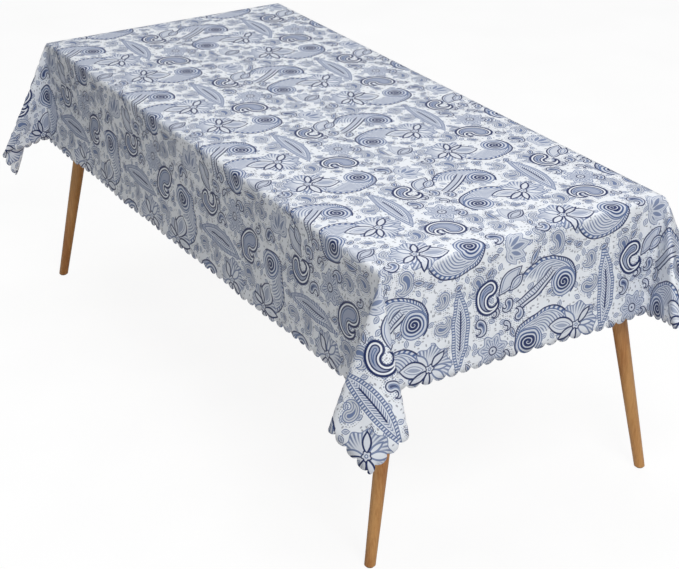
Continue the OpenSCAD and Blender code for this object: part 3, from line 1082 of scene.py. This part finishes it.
    def draw_halo(self, given):
        """Fine feathers that fan out round a flower."""
        size, lobes, feathers = 54.0, 9.0, 34
        radius, angle = self.polar(self.local(given))
        wave = self.math("SINE", angle * lobes)
        gap = radius - self.linear(wave, 4.0, size)
        bars = self.rungs(self.linear(radius, 0.006, angle), 2 * math.pi / feathers)
        body = self.inside(gap)
        self.clear(body)
        self.lay("tint", body, 0.07)
        self.lay("tint", bars * body * self.ramp(radius, size * 0.3, size), 0.5)
        self.lay("tint", self.line(gap, 2.0), 0.5)
        return self.painted()

    def draw_heart(self, given):
        """The round middle of a flower."""
        size, knobs = 10.0, 5.0
        radius, angle = self.polar(self.local(given))
        wave = self.math("SINE", angle * knobs)
        self.shape("heart", radius - self.linear(wave, 1.6, size))
        self.lay("tint", self.line(radius - 3.4, 2.0), 0.6)
        return self.painted()

    # ---- drawing on the cloth

    def stamp(self, name, keep=0.0, **values):
        """Draws a painted motif over what is there."""
        motif = self.use(name, Place=self.place, **values)
        self.clear(motif["Cover"], keep)
        self.lay("tint", motif["Tint"])
        self.lay("navy", motif["Navy"])

    def leaves(self, shapes, bend=0.0):
        """Several leaves as one shape. Along and Across belong to the last one."""
        others = FAR
        for x, y, turn, length, width in shapes:
            made = self.use(
                "leaf", Place=self.place, Centre=(x, y, 0.0), Turn=turn, Length=length,
                Width=width, Bend=bend, Others=others,
            )
            others = made["Gap"]
        return made

    def petals(self, shapes):
        """The gap of leaves that each grow from a point: base x and y, turn, length, half width."""
        placed = []
        for x, y, turn, length, width in shapes:
            reach_x = length / 2 * math.cos(math.radians(turn))
            reach_y = length / 2 * math.sin(math.radians(turn))
            placed.append((x + reach_x, y + reach_y, turn, length / 2, width))
        return self.leaves(placed)["Gap"]

    def flower_petals(self, kind, shapes):
        """Petals that all grow out from near their flower's centre."""
        grown = []
        for flower, dx, dy, width in shapes:
            turn, reach = math.atan2(dy, dx), math.hypot(dx, dy)
            base_x = FLOWERS[flower][0] + PETAL_START * math.cos(turn)
            base_y = FLOWERS[flower][1] + PETAL_START * math.sin(turn)
            grown.append((base_x, base_y, math.degrees(turn), reach - PETAL_START, width))
        self.shape(kind, self.petals(grown), keep=0.1)

    def commas(self, kind, shapes):
        """Several commas as one beaded shape."""
        others = FAR
        for spine, head, sweep, width in shapes:
            dx, dy = head[0] - spine[0], head[1] - spine[1]
            others = self.use(
                "comma", Place=self.place, Centre=spine + (0.0,),
                Turn=math.degrees(math.atan2(dy, dx)), Radius=math.hypot(dx, dy),
                Sweep=math.radians(abs(sweep)), Width=width, Flip=math.copysign(1.0, sweep),
                Others=others,
            )["Gap"]
        self.beaded_shape(kind, others)

    def long_leaf(self):
        """A long feather of a leaf, with a laced border and a dark stem."""
        leaf = self.leaves((LONG_LEAF,), bend=-0.001)
        gap, along, across = leaf["Gap"], leaf["Along"], leaf["Across"]
        self.shape("long_leaf", gap)
        band = self.inside(gap) * self.ramp(gap, -8.0, -7.2)
        self.lay("tint", band * self.rungs(along, 6.6), 0.66)
        self.mark("long_leaf_border", gap)
        slant = along + abs(across)
        self.lay("tint", self.inside(gap, 12.0) * self.rungs(slant, 7.0, 0.45), 0.5)
        near = self.within(abs(along), 42.0, 50.0)
        self.lay("navy", self.line(across, 3.4) * near, 0.9)

    def stalk(self):
        """Three dark lines side by side, with rungs between, that rise to a scroll."""
        stalk = self.leaves((STALK,), bend=-0.0012)
        across, along = stalk["Across"], stalk["Along"]
        near = self.within(abs(along), 50.0, 58.0)
        body = self.within(abs(across), 12.4, 13.6)
        self.clear(body * near)
        self.lay("tint", body * near, 0.08)
        for offset, width, strength in ((-12.0, 3.4, 1.0), (-3.0, 2.8, 0.9), (11.0, 3.0, 0.9)):
            self.lay("navy", self.line(across, width, offset) * near, strength)
        band = self.ramp(across, -9.0, -8.0) * self.within(across, 3.0, 4.0)
        self.lay("tint", band * self.rungs(along, 6.0, 0.35) * near, 0.45)

    def bud(self):
        """Two dark-edged leaves, one inside the other."""
        for leaf in BUD_LEAVES:
            self.shape("bud", self.leaves((leaf,), bend=0.002)["Gap"])

    def rosette(self):
        """A soft open flower seen from above, with a ring of short bars."""
        size, bars = ROSETTE_SIZE, 21
        local = self.use("place", Place=self.place, Centre=ROSETTE_CENTRE + (0.0,))["Local"]
        radius, angle = self.polar(local)
        wave = self.math("COSINE", angle * ROSETTE_LOBES)
        gap = radius - self.linear(wave, size * 0.16, size)
        self.shape("rosette", gap)
        ring = self.ramp(radius, size * 0.32, size * 0.36) * self.inside(gap, 10.0)
        self.lay("tint", ring * self.rungs(angle, 2 * math.pi / bars, 0.4), 0.55)
        self.lay("navy", self.line(radius - size * 0.28, 2.8), 0.75)
        self.lay("navy", self.inside(radius, -2.6), 0.7)

    def cells(self, spacing, stretch, randomness):
        """A loose mesh of cells, one small mark to each."""
        made = self.node("ShaderNodeTexVoronoi", voronoi_dimensions="2D", feature="F1")
        where = self.vector("MULTIPLY", self.place, stretch) if stretch else self.place
        self.feed(made.inputs["Vector"], where)
        self.feed(made.inputs["Scale"], 1.0 / spacing)
        self.feed(made.inputs["Randomness"], randomness)
        return self.outputs(made)

    def scatter(self):
        """Small seeds, one to each cell, turned every way."""
        cells = self.cells(SCATTER_SPACING, None, 0.7)
        offset = self.vector("SUBTRACT", self.place, cells["Position"])
        spin = self.part(cells["Color"], "X") * (2 * math.pi)
        local = self.rotate(offset, spin)
        x, y = self.part(local, "X"), self.part(local, "Y")
        narrowing = self.linear(x, 0.45, x) * x
        gap = abs(y) - self.linear(narrowing, -0.045, 5.0)
        bare = 1.0 - self.inks["cover"]
        self.lay("cover", self.inside(gap, -3.0) * bare)
        self.lay("tint", self.line(gap, 2.0) * bare, SCATTER_OUTLINE)
        self.lay("tint", self.inside(gap, 2.6) * bare, SCATTER_HEART)

    def specks(self):
        """Small dots and dashes that fill the ground between the motifs."""
        bare = 1.0 - self.inks["cover"]
        for spacing, stretch, radius in SPECKS:
            apart = self.cells(spacing, stretch, 0.85)["Distance"] * spacing
            self.lay("grey", self.inside(apart, -radius) * bare, SPECK_STRENGTH)

    def draw(self, place):
        """The whole print, from what lies lowest to what lies on top."""
        self.place = place
        self.make_groups()
        rows = [self.rungs(self.part(place, axis), BEAD_SPACING, 0.6) for axis in "XY"]
        self.dots = rows[0] * rows[1]
        self.commas("grey_comma", GREY_COMMAS)
        for x, y, start, flip in SCROLLS:
            self.stamp("scroll", Centre=(x, y, 0.0), Turn=start, Flip=flip)
        self.long_leaf()
        self.shape("lotus", self.petals([LOTUS_BASE + petal for petal in LOTUS_PETALS]))
        self.rosette()
        self.bud()
        self.stalk()
        self.shape("wing", self.leaves((WING,))["Gap"])
        self.shape("seed", self.leaves((SEED,))["Gap"])
        self.beaded_shape("drop", self.leaves(DROPS, bend=0.008)["Gap"])
        self.commas("blue_comma", BLUE_COMMAS)
        for centre in FLOWERS:
            self.stamp("halo", keep=0.3, Centre=centre + (0.0,))
        self.commas("bold_comma", BOLD_COMMAS)
        self.flower_petals("faint_petal", FAINT_PETALS)
        self.flower_petals("petal", UNDER_PETALS)
        self.flower_petals("petal", UPPER_PETALS)
        for centre in FLOWERS:
            self.stamp("heart", Centre=centre + (0.0,))
        self.scatter()
        self.specks()

    def coverage(self, ink):
        """How much of the ground's light an ink takes, from how dark it looks."""
        return 1.0 - self.math("POWER", 1.0 - self.inks[ink], INK_DEPTH)


def weave(shader, place):
    """The height of a plain weave: warp and weft yarns that pass over and under in turn."""
    pitch = 0.45
    across, along = [
        shader.math("SINE", shader.part(place, axis) * (math.pi / pitch)) for axis in "XY"
    ]
    over = across * along
    return shader.linear(over, 0.5, abs(across) + abs(along))


def cloth_material():
    """Printed polyester: paisley in blue inks on white, over a fine plain weave."""
    cloth = Material("printed_cloth", Roughness=0.52, Sheen_Weight=0.08, Sheen_Roughness=0.45)
    uv = cloth.fed(cloth.node("ShaderNodeUVMap", uv_map=FLAT_UV), "UV")
    millimetres = cloth.vector("MULTIPLY", uv, (1000.0, 1000.0, 0.0))
    warp, weft = [
        cloth.noise(cloth.vector("MULTIPLY", millimetres, stretch), 1.0, 2.0)
        for stretch in ((0.02, 1.6, 0.0), (1.6, 0.02, 0.0))
    ]
    slub = warp + weft
    printed = Print(cloth.tree)
    printed.draw(cloth.vector("SUBTRACT", millimetres, PRINT_ORIGIN + (0.0,)))
    tone = GROUND
    for ink, ink_colour in INK_COLOURS.items():
        tone = cloth.mix(printed.coverage(ink), tone, ink_colour)
    handled = cloth.noise(millimetres, 0.012, 3.0)
    cloth.paint(
        Base_Color=cloth.scaled(tone, cloth.ramp(slub, 0.6, 1.4, 0.955, 1.0)),
        Roughness=cloth.ramp(handled, 0.3, 0.7, 0.46, 0.60),
    )
    cloth.bump(cloth.linear(slub, 0.6, weave(cloth, millimetres)), 0.00003, 0.6)
    return cloth.material


make_camera()
make_studio()
dress_frame()
make_cloth()
